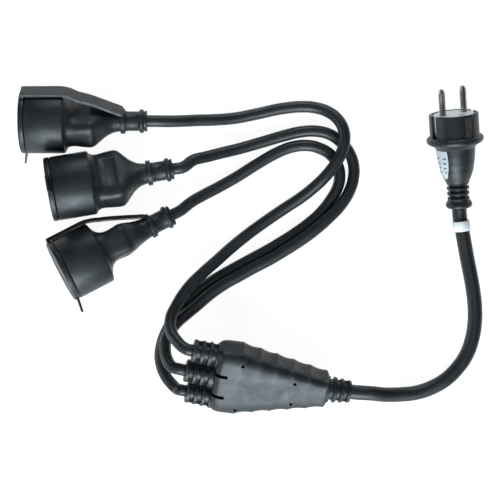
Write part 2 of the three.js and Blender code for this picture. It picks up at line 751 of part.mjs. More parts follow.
function couplerSolids() {
  const seatEnd = ringSeatStart + ringSeatLength;
  const seatRadius = neckRadius - 0.6;
  const rings = [
    [0, cupRadius - cupRim, cupRadius - cupRim, 2],
    [cupRim, cupRadius, cupRadius, 2],
    [cupLength - 1, cupRadius, cupRadius, 2],
    [cupLength, cupRadius - 1, cupRadius - 1, 2],
    [cupLength + 0.9, paddleHalfWidth + 0.8, paddleHalfHeight + 4.4, 2.4],
    [cupLength + 4, paddleHalfWidth - 0.8, paddleHalfHeight + 0.6, 3.2],
    [paddleStart, paddleHalfWidth - 0.4, paddleHalfHeight - 0.2, 3.8],
    [paddleEnd, paddleHalfWidth, paddleHalfHeight, 4],
    [paddleEnd + 4, paddleHalfWidth * 0.84, paddleHalfHeight * 0.9, 3.4],
    [paddleEnd + 9, paddleHalfWidth * 0.6, paddleHalfHeight * 0.8, 2.8],
    [neckStart, neckRadius + 0.7, neckRadius + 0.7, 2],
    [ringSeatStart, neckRadius, neckRadius, 2],
    [ringSeatStart, seatRadius, seatRadius, 2],
    [seatEnd, seatRadius, seatRadius, 2],
    [seatEnd, neckRadius, neckRadius, 2],
    [seatEnd + 1.2, sleeveRadius, sleeveRadius, 2],
    [beadCentre - 2.4, sleeveRadius, sleeveRadius, 2],
    [beadCentre - 1.2, couplerBeadRadius, couplerBeadRadius, 2],
    [beadCentre + 1.2, couplerBeadRadius, couplerBeadRadius, 2],
    [beadCentre + 2, sleeveRadius, sleeveRadius, 2],
    [couplerLength - 1.2, sleeveRadius, sleeveRadius, 2],
    [couplerLength - 1.2, sleeveRadius + 0.7, sleeveRadius + 0.7, 2],
    [couplerLength, sleeveRadius + 0.4, sleeveRadius + 0.4, 2],
  ];
  const recessFloor = insertRecess + recessDepth;
  const baseEnd = recessFloor + insertBase;
  const bridgeEnd = baseEnd + seatGap + clipThickness;
  const towerEnd = baseEnd + towerLength;
  const half = pinPitch / 2;
  const cavity = revolve([
    [-1, 0],
    [-1, insertRadius + seatGap],
    [bridgeEnd + seatGap, insertRadius + seatGap],
    [bridgeEnd + seatGap, 0],
  ], 24);
  const towerRoom = towerRadius + seatGap;
  const towerCut = rod(towerRoom, [baseEnd, half, 0], [towerEnd + seatGap, half, 0], 12)
    .add(rod(towerRoom, [baseEnd, -half, 0], [towerEnd + seatGap, -half, 0], 12))
    .add(block([baseEnd, -half, -towerRoom], [towerEnd + seatGap, half, towerRoom]));
  const housing = mould(rings, 24).subtract(cavity).subtract(towerCut);

  const contactStart = recessFloor + 2.4;
  const contactHole = contactRadius + seatGap;
  let insert = revolve([
    [recessFloor, 0],
    [recessFloor, recessRadius],
    [insertRecess, recessRadius],
    [insertRecess, insertRadius],
    [baseEnd, insertRadius],
    [baseEnd, 0],
  ], 24);
  for (const side of [-1, 1]) {
    insert = insert.add(rod(towerRadius, [baseEnd - 1, side * half, 0], [towerEnd, side * half, 0], 14));
  }
  for (const side of [-1, 1]) {
    const across = side * half;
    insert = insert.subtract(rod(
      pinHoleRadius,
      [recessFloor - 1, across, 0],
      [contactStart + 1, across, 0],
      12,
    ));
    insert = insert.subtract(rod(
      contactHole,
      [contactStart - seatGap, across, 0],
      [towerEnd + 1, across, 0],
      12,
    ));
    insert = insert.subtract(block(
      [recessFloor - 1, -clipWidth / 2 - seatGap, side * clipOffset - clipThickness / 2 - seatGap],
      [baseEnd + 1, clipWidth / 2 + seatGap, side * clipOffset + clipThickness / 2 + seatGap],
    ));
  }
  const contact = revolve([
    [contactStart, contactBore],
    [contactStart, contactRadius],
    [contactStart + contactLength - 6, contactRadius],
    [contactStart + contactLength - 5, contactBore],
    [contactStart + contactLength, contactBore],
    [contactStart + contactLength, 0],
    [contactStart + contactLength - 7, 0],
    [contactStart + contactLength - 7, contactBore],
    [contactStart, contactBore],
  ], 12);
  const outer = clipOffset + clipThickness / 2;
  const inner = clipOffset - clipThickness / 2;
  const bridgeStart = baseEnd + seatGap;
  const clip = plate([
    [clipStart, inner - 0.6],
    [clipStart, outer - 0.6],
    [clipStart + 4, outer],
    [bridgeEnd, outer],
    [bridgeEnd, -outer],
    [clipStart + 4, -outer],
    [clipStart, -outer + 0.6],
    [clipStart, -inner + 0.6],
    [clipStart + 4, -inner],
    [bridgeStart, -inner],
    [bridgeStart, inner],
    [clipStart + 4, inner],
  ], clipWidth, 0);

  // The hinge line is the outer corner of the strap at the mouth, on the -Z side
  const strapInner = cupRadius + seatGap;
  const strapOuter = strapInner + strapThickness;
  const lidInner = -seatGap;
  const lidOuter = -seatGap - lidThickness;
  const disc = revolve([
    [lidInner, 0],
    [lidInner, bossRadius - bossWall],
    [bossDepth, bossRadius - bossWall],
    [bossDepth, bossRadius],
    [lidInner, bossRadius],
    [lidInner, cupRadius],
    [lidOuter + 0.9, cupRadius],
    [lidOuter, cupRadius - 0.9],
    [lidOuter, 0],
  ], 24);
  const hingeTab = block(
    [lidInner - strapThickness - 0.4, -strapWidth / 2, -strapOuter],
    [lidInner, strapWidth / 2, -cupRadius + 4],
  );
  const lean = Math.tan(rad(tabLean));
  const tabRoot = cupRadius - 2;
  const tabTip = cupRadius + tabLength;
  const pullTab = plate([
    [lidInner - 0.6, tabRoot],
    [lidInner - 0.6 - (tabTip - tabRoot) * lean, tabTip],
    [lidInner - 0.6 - tabThickness - (tabTip - tabRoot) * lean, tabTip],
    [lidInner - 0.6 - tabThickness, tabRoot],
  ], tabWidth, 0);
  const lid = disc.add(hingeTab).add(pullTab);

  const ringInner = seatRadius + seatGap;
  const ringOuter = ringInner + neckRingWall;
  const ringStart = ringSeatStart + (ringSeatLength - neckRingLength) / 2;
  const neckRing = revolve([
    [ringStart, ringInner],
    [ringStart, ringOuter],
    [ringStart + neckRingLength, ringOuter],
    [ringStart + neckRingLength, ringInner],
    [ringStart, ringInner],
  ], 20);
  const strapWith = (bow) => {
    const middleLine = [
      [0, strapInner + strapThickness / 2],
      [cupLength - 2, strapInner + strapThickness / 2],
      [cupLength + 4, strapInner + strapThickness / 2 - 1.6 + bow * 0.3],
      [(cupLength + paddleEnd) / 2, cupRadius * 0.85 + bow * 0.7],
      [paddleEnd, cupRadius * 0.71 + bow],
      [paddleEnd + 10, cupRadius * 0.55 + bow * 0.6],
      [ringStart - 2, ringOuter + 1],
      [ringStart + neckRingLength - 0.6, ringOuter - 0.6],
    ];
    const upper = [];
    const lower = [];
    for (let i = 0; i < middleLine.length; i += 1) {
      const before = middleLine[Math.max(0, i - 1)];
      const after = middleLine[Math.min(middleLine.length - 1, i + 1)];
      const length = Math.hypot(after[0] - before[0], after[1] - before[1]);
      const across = [-(after[1] - before[1]) / length, (after[0] - before[0]) / length];
      const thin = i === middleLine.length - 1 ? 0.35 : 1;
      const reach = strapThickness / 2 * thin;
      upper.push([middleLine[i][0] + across[0] * reach, middleLine[i][1] + across[1] * reach]);
      lower.push([middleLine[i][0] - across[0] * reach, middleLine[i][1] - across[1] * reach]);
    }
    const strip = plate([...upper, ...lower.reverse()].map(([along, out]) => [along, -out]), strapWidth, 0);
    const ringBore = rod(ringInner, [ringStart - 1, 0, 0], [ringStart + neckRingLength + 1, 0, 0], 20);
    return neckRing.add(strip).subtract(ringBore);
  };
  return { housing, insert, contact, clip, lid, strapWith, half };
}

function buildCouplers() {
  const solids = couplerSolids();
  const ends = [];
  for (const [i, place] of couplerPlaces.entries()) {
    const label = `coupler_${i + 1}`;
    const body = new THREE.Group();
    const cover = new THREE.Group();
    const face = new THREE.Vector3(...place.face);
    const along = new THREE.Vector3(1, 0, 0)
      .applyEuler(new THREE.Euler(0, rad(place.pitch), rad(place.heading), 'ZYX'));
    const mouth = face.addScaledVector(along, lidThickness + seatGap);
    placeAlongX(body, mouth, place.heading, place.pitch, -place.bodyTurn);
    placeAlongX(cover, mouth, place.heading, place.pitch, -place.lidTurn);
    addPiece(body, `${label}_housing`, solids.housing, rubber);
    addPiece(body, `${label}_insert`, solids.insert, hardBlack);
    for (const [name, side] of [['left', -1], ['right', 1]]) {
      const shift = new THREE.Matrix4().makeTranslation(0, side * solids.half, 0);
      addPiece(body, `${label}_contact_${name}`, moved(solids.contact, shift), brass);
    }
    addPiece(body, `${label}_earth_clip`, solids.clip, nickel);
    addPiece(cover, `${label}_lid`, solids.lid, rubber);
    addPiece(cover, `${label}_strap`, solids.strapWith(place.strapBow), rubber);
    object.add(body);
    object.add(cover);
    ends.push(endOf(body, new THREE.Matrix4().makeTranslation(couplerLength, 0, 0), 1));
  }
  return ends;
}

function addMarker(curve) {
  const length = curve.getLength();
  const from = (length - markerDistance - markerLength) / length;
  const to = (length - markerDistance) / length;
  const stretch = [];
  for (let i = 0; i <= 4; i += 1) {
    stretch.push(curve.getPointAt(from + (to - from) * i / 4));
  }
  const path = new THREE.CatmullRomCurve3(stretch);
  const tube = (radius, count) => {
    const section = new THREE.Shape();
    section.absarc(0, 0, radius, 0, 2 * Math.PI);
    const outline = new THREE.Shape(section.getPoints(count).slice(0, -1));
    return toSolid(new THREE.ExtrudeGeometry(outline, { steps: 4, extrudePath: path, bevelEnabled: false }));
  };
  const bore = trunkDiameter / 2 + markerGap;
  const start = path.getPointAt(0);
  const end = path.getPointAt(1);
  const before = path.getTangentAt(0);
  const after = path.getTangentAt(1);
  const inner = rod(
    bore,
    start.clone().addScaledVector(before, -2).toArray(),
    end.clone().addScaledVector(after, 2).toArray(),
    14,
  );
  addPiece(object, 'cord_marker_sleeve', tube(bore + markerWall, 14).subtract(inner), white);
}

const plugEnd = buildPlug();
const splitterEnds = buildSplitter();
const couplerEnds = buildCouplers();
const trunk = addCord('trunk_cord', trunkDiameter, splitterEnds.trunk, plugEnd, trunkRoute, 20, rubber);
addMarker(trunk);
for (const [i, route] of branchRoutes.entries()) {
  const name = `branch_cord_${i + 1}`;
  addCord(name, branchDiameter, splitterEnds.branches[i], couplerEnds[i], route, 22, rubber);
}

object.updateMatrixWorld(true);

export default object;
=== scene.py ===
"""Power cord splitter: an earthed plug, a trunk cord, a moulded splice block,
three branch cords and three coupler sockets with hinged rubber lids."""

from math import atan2, cos, pi, radians, sin

import bmesh
import bpy
from bpy.props import FloatProperty, FloatVectorProperty, IntProperty, PointerProperty
from mathutils import Matrix, Vector


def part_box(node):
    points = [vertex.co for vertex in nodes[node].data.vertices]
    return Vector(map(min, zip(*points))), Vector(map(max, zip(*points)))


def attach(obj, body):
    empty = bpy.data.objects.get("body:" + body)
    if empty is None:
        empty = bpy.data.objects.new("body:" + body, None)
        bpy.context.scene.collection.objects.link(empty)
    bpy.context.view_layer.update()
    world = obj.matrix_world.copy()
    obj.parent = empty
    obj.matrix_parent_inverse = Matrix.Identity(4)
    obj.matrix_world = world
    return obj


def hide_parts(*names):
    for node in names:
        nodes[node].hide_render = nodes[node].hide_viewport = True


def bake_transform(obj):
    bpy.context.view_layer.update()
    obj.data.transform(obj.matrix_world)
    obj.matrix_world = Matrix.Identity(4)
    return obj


bl_info = {
    "name": "Power Cord Splitter",
    "version": (1, 0, 0),
    "blender": (4, 5, 0),
    "location": "3D View > Sidebar > Cord Splitter",
    "description": "Builds a three-way rubber power cord splitter around its packed solids",
    "category": "Object",
}

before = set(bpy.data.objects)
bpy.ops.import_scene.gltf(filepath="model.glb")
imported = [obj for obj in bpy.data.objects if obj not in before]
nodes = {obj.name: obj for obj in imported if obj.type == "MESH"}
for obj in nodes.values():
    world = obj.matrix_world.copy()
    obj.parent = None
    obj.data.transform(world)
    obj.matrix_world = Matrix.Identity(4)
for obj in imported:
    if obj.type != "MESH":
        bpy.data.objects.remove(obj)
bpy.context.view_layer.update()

MM = 0.001


# Where each piece lies: place in millimetres, then heading, pitch and roll in degrees


def placed(position, heading, pitch, roll):
    turn = (
        Matrix.Rotation(radians(heading), 4, "Z")
        @ Matrix.Rotation(radians(pitch), 4, "Y")
        @ Matrix.Rotation(radians(roll), 4, "X")
    )
    return Matrix.Translation(Vector(position) * MM) @ turn @ Matrix.Scale(MM, 4)


LID_THICKNESS = 4.1
SEAT_GAP = 0.3
PLUG_LENGTH = 71
BLOCK_LENGTH = 81
TRUNK_GLAND = 17.5
COUPLER_LENGTH = 87.9
# Offset across the block and length of each branch gland, and the angle they lean at
GLANDS = [(19, 21.3), (0, 24.4), (-19, 21.3)]
GLAND_LEAN = 5
PLUG = placed((196.2, 100.3, 26.4), -84.4, 14.4, -27)
BLOCK_ROLL = 33
BLOCK = placed((23.5, -92.2, 23.8), -7.4, 4.5, BLOCK_ROLL)
# Each coupler's outer face, its direction, the turns of body and lid, and the strap's bow
COUPLERS = [
    {"face": (-121, 94.5, 24.5), "heading": 0.2, "pitch": 1, "body": -135, "lid": -126, "bow": 1},
    {"face": (-100.4, 44, 30.2), "heading": 9.8, "pitch": 5, "body": 26, "lid": 5, "bow": 6},
    {"face": (-91.8, -16.2, 29), "heading": 27.6, "pitch": 10, "body": -90, "lid": -90, "bow": 1.2},
]

# Middle line of each cord between its two mouths, in millimetres
TRUNK_ROUTE = [
    (137.5, -106.3, 14.6), (147.4, -107.6, 11), (159.6, -107.7, 8), (171.6, -106.5, 6.2),
    (183.1, -102.7, 5.6), (193.4, -96.7, 5.6), (202, -88.3, 5.6), (208.8, -78.3, 5.6),
    (212.9, -67.1, 5.6), (214.9, -55.2, 5.6), (215.1, -43.2, 5.6), (213.9, -31.2, 5.6),
    (211.9, -19.4, 5.6), (209.6, -7.7, 5.6), (207.4, 4.1, 6), (205.4, 14.9, 6.7),
]
BRANCH_ROUTES = [
    [
        (-6.6, -66, 32.5), (-11, -58.8, 27.2), (-11.3, -50.5, 23), (-7.5, -41.6, 19.4),
        (1.2, -28.1, 16), (12.5, -16.6, 12.8), (21.9, -8.3, 10), (31.2, 0.1, 7.4),
        (43.8, 10.5, 5.2), (58.5, 21.3, 4.5), (73.5, 31.5, 5.2), (85.1, 39.1, 7.4),
        (94.6, 46.6, 10.2), (103.1, 54.8, 13), (109.9, 63.4, 14), (114.9, 72.3, 14.2),
        (117, 80.5, 14), (116.6, 88.8, 12.8), (112.7, 96.9, 10), (105.4, 103.1, 7),
        (96.4, 106.3, 5.2), (86.7, 107.2, 4.6), (71, 105.8, 4.5), (53.4, 102.1, 4.5),
        (35.7, 98.5, 6.2), (20.8, 96.9, 10.2), (8.9, 96.2, 14.2), (-2.1, 95.4, 17.8),
        (-11.6, 94.9, 20.6),
    ],
    [
        (-10.3, -85.7, 24.6), (-14.3, -80, 20.8), (-15.7, -73.9, 18), (-15.6, -68.1, 16.2),
        (-12.9, -61.5, 14.6), (-7.9, -54.6, 13), (-0.7, -48.1, 11.4), (6.8, -41.9, 10.8),
        (17.7, -32.6, 10.7), (28.7, -25, 10.7), (39.7, -18.9, 10.7), (50.5, -12.9, 10.7),
        (61.7, -7.1, 10.7), (72.3, -0.8, 10.7), (83.5, 6.3, 10.7), (94.6, 14.3, 10.6),
        (105.1, 23.4, 10), (115.2, 34.1, 8.2), (121.7, 44.9, 6.1), (124.3, 53.5, 4.9),
        (124.5, 63.3, 4.5), (121, 73.3, 4.5), (114.7, 81, 4.5), (106.9, 86.4, 4.5),
        (97.8, 88.8, 4.5), (85.7, 88.5, 4.5), (73.9, 85.9, 4.5), (56.7, 80.9, 4.5),
        (39.4, 75.8, 6.4), (26.1, 72.3, 10.4), (14.2, 69, 15), (5.2, 66.4, 18.6),
    ],
    [
        (-6.6, -103.3, 13.6), (-11.6, -99.3, 10.6), (-16.7, -92.5, 7.4), (-19.2, -86.2, 5.6),
        (-20.2, -79.6, 4.8), (-19.5, -72.6, 4.5), (-17, -64.2, 4.5), (-13.9, -57.8, 4.5),
        (-9.9, -50.1, 4.5), (-3.9, -41.9, 4.5), (4.3, -33.9, 4.5), (13.5, -26.9, 4.5),
        (24.6, -19.6, 4.5), (36.3, -13.1, 4.5), (47.1, -7.2, 4.5), (58.3, -1.2, 4.5),
        (68.9, 5, 4.5), (80.4, 12.3, 4.5), (90.9, 19.9, 4.5), (100, 28.1, 4.5),
        (107.6, 37.8, 4.5), (112.4, 46.4, 4.5), (114.1, 54.3, 4.5), (112.9, 62.6, 4.5),
        (108, 70.6, 4.5), (98.6, 76.3, 4.5), (89.4, 78.2, 4.5), (78.8, 77.1, 4.5),
        (68, 73.1, 4.5), (52.4, 64.3, 4.5), (37.3, 54.8, 4.6), (23.8, 47.1, 5.4),
        (12.7, 41.2, 7.4), (3.2, 35.6, 9.8),
    ],
]


class CordSplitterSizes(bpy.types.PropertyGroup):
    """Sizes that give the splitter its character"""

    trunk_diameter: FloatProperty(
        name="Trunk cord", description="Diameter of the cord to the plug",
        default=0.011, unit="LENGTH",
    )
    branch_diameter: FloatProperty(
        name="Branch cords", description="Diameter of the cords to the couplers",
        default=0.0088, unit="LENGTH",
    )
    scallop_depth: FloatProperty(
        name="Scallop depth",
        description="Depth of the finger scallops along the block, in millimetres",
        default=1.3, min=0.0,
    )
    grid_rows: IntProperty(
        name="Grid rows", description="Rows of small pads in the textured panel of the block",
        default=16, min=4, max=40,
    )
    panel_depth: FloatProperty(
        name="Panel depth",
        description="Depth of the plain recess in each coupler's flat side, in millimetres",
        default=0.55, min=0.0,
    )


class CordSplitterColours(bpy.types.PropertyGroup):
    """Colours of the splitter"""

    rubber: FloatVectorProperty(
        name="Moulded rubber", description="Colour of the block, plug, couplers and lids",
        subtype="COLOR", default=(0.0130, 0.0152, 0.0176), min=0.0, max=1.0,
    )
    sheath: FloatVectorProperty(
        name="Cord sheath", description="Colour of the cords",
        subtype="COLOR", default=(0.0115, 0.0132, 0.0152), min=0.0, max=1.0,
    )
    carrier: FloatVectorProperty(
        name="Pin carrier", description="Colour of the plug's face",
        subtype="COLOR", default=(0.86, 0.87, 0.88), min=0.0, max=1.0,
    )
    inlay: FloatVectorProperty(
        name="Grip inlay", description="Colour of the inlays in the plug's grip",
        subtype="COLOR", default=(0.52, 0.56, 0.59), min=0.0, max=1.0,
    )


def sizes():
    return bpy.context.scene.cord_splitter_sizes


def colours():
    return bpy.context.scene.cord_splitter_colours


# Mesh work, in millimetres in each piece's own place


def polar_radius(angle, half_width, half_height, squareness):
    wide = abs(cos(angle)) / half_width
    high = abs(sin(angle)) / half_height
    return (wide**squareness + high**squareness) ** (-1 / squareness)


def shape_ring(verts, ring):
    along, half_width, half_height, squareness = ring
    for vert in verts:
        angle = atan2(vert.co.z, vert.co.y)
        radius = polar_radius(angle, half_width, half_height, squareness)
        vert.co = (along, radius * cos(angle), radius * sin(angle))


def loft(bm, rings, count):
    """Closed skin through rings of [along, half width, half height, squareness]"""
    ring = bmesh.ops.create_circle(bm, cap_ends=False, segments=count, radius=1.0)["verts"]
    bmesh.ops.rotate(bm, verts=ring, cent=(0, 0, 0), matrix=Matrix.Rotation(pi / 2, 3, "Y"))
    bmesh.ops.rotate(bm, verts=ring, cent=(0, 0, 0), matrix=Matrix.Rotation(pi / count, 3, "X"))
    edges = list({edge for vert in ring for edge in vert.link_edges})
    shape_ring(ring, rings[0])
    bmesh.ops.contextual_create(bm, geom=edges)
    for place in rings[1:]:
        grown = bmesh.ops.extrude_edge_only(bm, edges=edges)["geom"]
        ring = [item for item in grown if isinstance(item, bmesh.types.BMVert)]
        fresh = set(ring)
        edges = [
            item for item in grown
            if isinstance(item, bmesh.types.BMEdge) and set(item.verts) <= fresh
        ]
        shape_ring(ring, place)
    bmesh.ops.contextual_create(bm, geom=edges)


def turned(bm, profile, count):
    """Body of revolution about the X axis through points of [along, radius]"""
    chain = [bm.verts.new((along, radius, 0)) for along, radius in profile]
    edges = [bm.edges.new(pair) for pair in zip(chain, chain[1:])]
    if profile[0][1] > 0 and profile[-1][1] > 0:
        edges.append(bm.edges.new((chain[-1], chain[0])))
    bmesh.ops.spin(
        bm, geom=chain + edges, cent=(0, 0, 0), axis=(1, 0, 0), dvec=(0, 0, 0),
        angle=2 * pi, steps=count, use_merge=True, use_duplicate=False,
    )
    bmesh.ops.remove_doubles(bm, verts=bm.verts, dist=1e-4)


def brick(bm, low, high, round_off=0.0):
    low, high = Vector(low), Vector(high)
    verts = bmesh.ops.create_cube(bm, size=1.0)["verts"]
    bmesh.ops.scale(bm, verts=verts, vec=high - low)
    bmesh.ops.translate(bm, verts=verts, vec=(low + high) / 2)
    if round_off:
        edges = list({edge for vert in verts for edge in vert.link_edges})
        bmesh.ops.bevel(
            bm, geom=edges, offset=round_off, segments=3, affect="EDGES",
            profile=0.5, material=-1,
        )


def outward(sign, near, far):
    """Low and high end of a span that lies on the negative or the positive side"""
    return sorted((sign * near, sign * far))


def slab(bm, outline, low, high):
    """Flat outline of (x, z) corners, given thickness along Y from low to high"""
    face = bm.faces.new([bm.verts.new((x, low, z)) for x, z in outline])
    grown = bmesh.ops.extrude_face_region(bm, geom=[face])["geom"]
    verts = [item for item in grown if isinstance(item, bmesh.types.BMVert)]
    bmesh.ops.translate(bm, verts=verts, vec=(0, high - low, 0))


def peg(bm, radius, start, end, count):
    start, end = Vector(start), Vector(end)
    way = end - start
    verts = bmesh.ops.create_cone(
        bm, cap_ends=True, segments=count, radius1=radius, radius2=radius, depth=way.length,
    )["verts"]
    turn = Vector((0, 0, 1)).rotation_difference(way).to_matrix()
    bmesh.ops.rotate(bm, verts=verts, cent=(0, 0, 0), matrix=turn)
    bmesh.ops.translate(bm, verts=verts, vec=(start + end) / 2)


def smooth_run(rings, steps):
    """Rings between the given ones on a smooth line through them"""
    out = []
    for n in range(len(rings) - 1):
        before = rings[max(0, n - 1)]
        here, there = rings[n], rings[n + 1]
        after = rings[min(len(rings) - 1, n + 2)]
        for k in range(steps):
            t = k / steps
            row = []
            for a, b, c, d in zip(before, here, there, after):
                row.append(
                    0.5 * (2 * b + (c - a) * t + (2 * a - 5 * b + 4 * c - d) * t**2
                           + (3 * b - a - 3 * c + d) * t**3)
                )
            row[0] = here[0] + (there[0] - here[0]) * t
            out.append(row)
    out.append(list(rings[-1]))
    return out


def mesh_of(bm, name):
    bmesh.ops.recalc_face_normals(bm, faces=bm.faces)
    mesh = bpy.data.meshes.new(name)
    bm.to_mesh(mesh)
    bm.free()
    return mesh


def carved(mesh, cutters):
    """The mesh with each cutter taken out of it"""
    body = bpy.data.objects.new("work", mesh)
    bpy.context.collection.objects.link(body)
    tools = []
    for cutter in cutters:
        tool = bpy.data.objects.new("cutter", cutter)
        bpy.context.collection.objects.link(tool)
        cut = body.modifiers.new("cut", "BOOLEAN")
        cut.operation = "DIFFERENCE"
        cut.solver = "EXACT"
        cut.object = tool
        tools.append(tool)
    graph = bpy.context.evaluated_depsgraph_get()
    result = bpy.data.meshes.new_from_object(body.evaluated_get(graph))
    for item in [body, *tools]:
        bpy.data.objects.remove(item)
    if len(result.polygons) < 4:
        raise RuntimeError("a cut left nothing of the piece")
    return result


def piece(name, mesh, place, material, body="root", edge=0.0, sharp=38):
    mesh.transform(place)
    mesh.name = name
    for face in mesh.polygons:
        face.use_smooth = True
    mesh.set_sharp_from_angle(angle=radians(sharp))
    mesh.materials.clear()
    mesh.materials.append(material)
    item = bpy.data.objects.new(name, mesh)
    bpy.context.scene.collection.objects.link(item)
    if edge:
        soften = item.modifiers.new("soft edges", "BEVEL")
        soften.width = edge * MM
        soften.segments = 2
        soften.limit_method = "ANGLE"
        soften.angle_limit = radians(35)
    if body:
        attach(item, body)
    return item


# Finishes


class Finish:
    """A node material that is built up step by step"""

    def __init__(self, name):
        self.material = bpy.data.materials.new(name)
        self.material.use_nodes = True
        self.tree = self.material.node_tree
        self.shader = self.tree.nodes["Principled BSDF"]
        self.coordinates = self.add("ShaderNodeTexCoord").outputs["Object"]

    def add(self, kind):
        return self.tree.nodes.new(kind)

    def link(self, a, b):
        self.tree.links.new(a, b)

    def noise(self, scale, detail):
        node = self.add("ShaderNodeTexNoise")
        node.inputs["Scale"].default_value = scale
        node.inputs["Detail"].default_value = detail
        node.inputs["Roughness"].default_value = 0.55
        self.link(self.coordinates, node.inputs["Vector"])
        return node.outputs["Fac"]

    def colour(self, low, high, factor):
        ramp = self.add("ShaderNodeValToRGB")
        ramp.color_ramp.elements[0].position = 0.35
        ramp.color_ramp.elements[1].position = 0.65
        ramp.color_ramp.elements[0].color = (*low, 1)
        ramp.color_ramp.elements[1].color = (*high, 1)
        self.link(factor, ramp.inputs["Fac"])
        self.link(ramp.outputs["Color"], self.shader.inputs["Base Color"])

    def roughness(self, low, high, factor):
        span = self.add("ShaderNodeMapRange")
        span.inputs["From Min"].default_value = 0.3
        span.inputs["From Max"].default_value = 0.7
        span.inputs["To Min"].default_value = low
        span.inputs["To Max"].default_value = high
        self.link(factor, span.inputs["Value"])
        self.link(span.outputs["Result"], self.shader.inputs["Roughness"])

    def grain(self, factor, distance):
        """Adds fine relief, on top of any relief that is there"""
        bump = self.add("ShaderNodeBump")
        bump.inputs["Distance"].default_value = distance
        bump.inputs["Strength"].default_value = 1.0
        self.link(factor, bump.inputs["Height"])
        if self.shader.inputs["Normal"].is_linked:
            self.link(self.shader.inputs["Normal"].links[0].from_socket, bump.inputs["Normal"])
        self.link(bump.outputs["Normal"], self.shader.inputs["Normal"])


def shade(colour, factor):
    return tuple(min(1.0, channel * factor) for channel in colour)


def moulded_rubber(name, colour, rough=0.42):
    """Black rubber: soft mottling, a fine moulded grain and a few duller patches"""
    known = bpy.data.materials.get(name)
    if known:
        return known
    finish = Finish(name)
    finish.colour(shade(colour, 0.82), shade(colour, 1.22), finish.noise(70, 5))
    finish.roughness(rough - 0.06, rough + 0.1, finish.noise(130, 4))
    finish.grain(finish.noise(2600, 2), 0.00006)
    finish.grain(finish.noise(420, 3), 0.00005)
    finish.shader.inputs["Specular IOR Level"].default_value = 0.45
    return finish.material


def cord_sheath(name, colour):
    """Rubber cord sheath: smoother than the mouldings, with faint dull and bright stretches"""
    finish = Finish(name)
    finish.colour(shade(colour, 0.85), shade(colour, 1.2), finish.noise(55, 4))
    finish.roughness(0.36, 0.5, finish.noise(90, 3))
    finish.grain(finish.noise(1500, 2), 0.00004)
    finish.grain(finish.noise(160, 2), 0.00008)
    finish.shader.inputs["Specular IOR Level"].default_value = 0.45
    return finish.material


def hard_plastic(name, colour, rough=0.4):
    """Hard moulding with a light spark-eroded grain"""
    finish = Finish(name)
    finish.colour(shade(colour, 0.92), shade(colour, 1.06), finish.noise(160, 4))
    finish.roughness(rough - 0.05, rough + 0.08, finish.noise(300, 3))
    finish.grain(finish.noise(3800, 2), 0.00003)
    return finish.material


def plated_metal(name, colour, rough=0.22):
    """Plated metal with slightly dulled patches"""
    finish = Finish(name)
    finish.shader.inputs["Metallic"].default_value = 1.0
    finish.colour(shade(colour, 0.9), shade(colour, 1.05), finish.noise(240, 4))
    finish.roughness(rough - 0.06, rough + 0.14, finish.noise(180, 4))
    finish.grain(finish.noise(500, 2), 0.000003)
    return finish.material


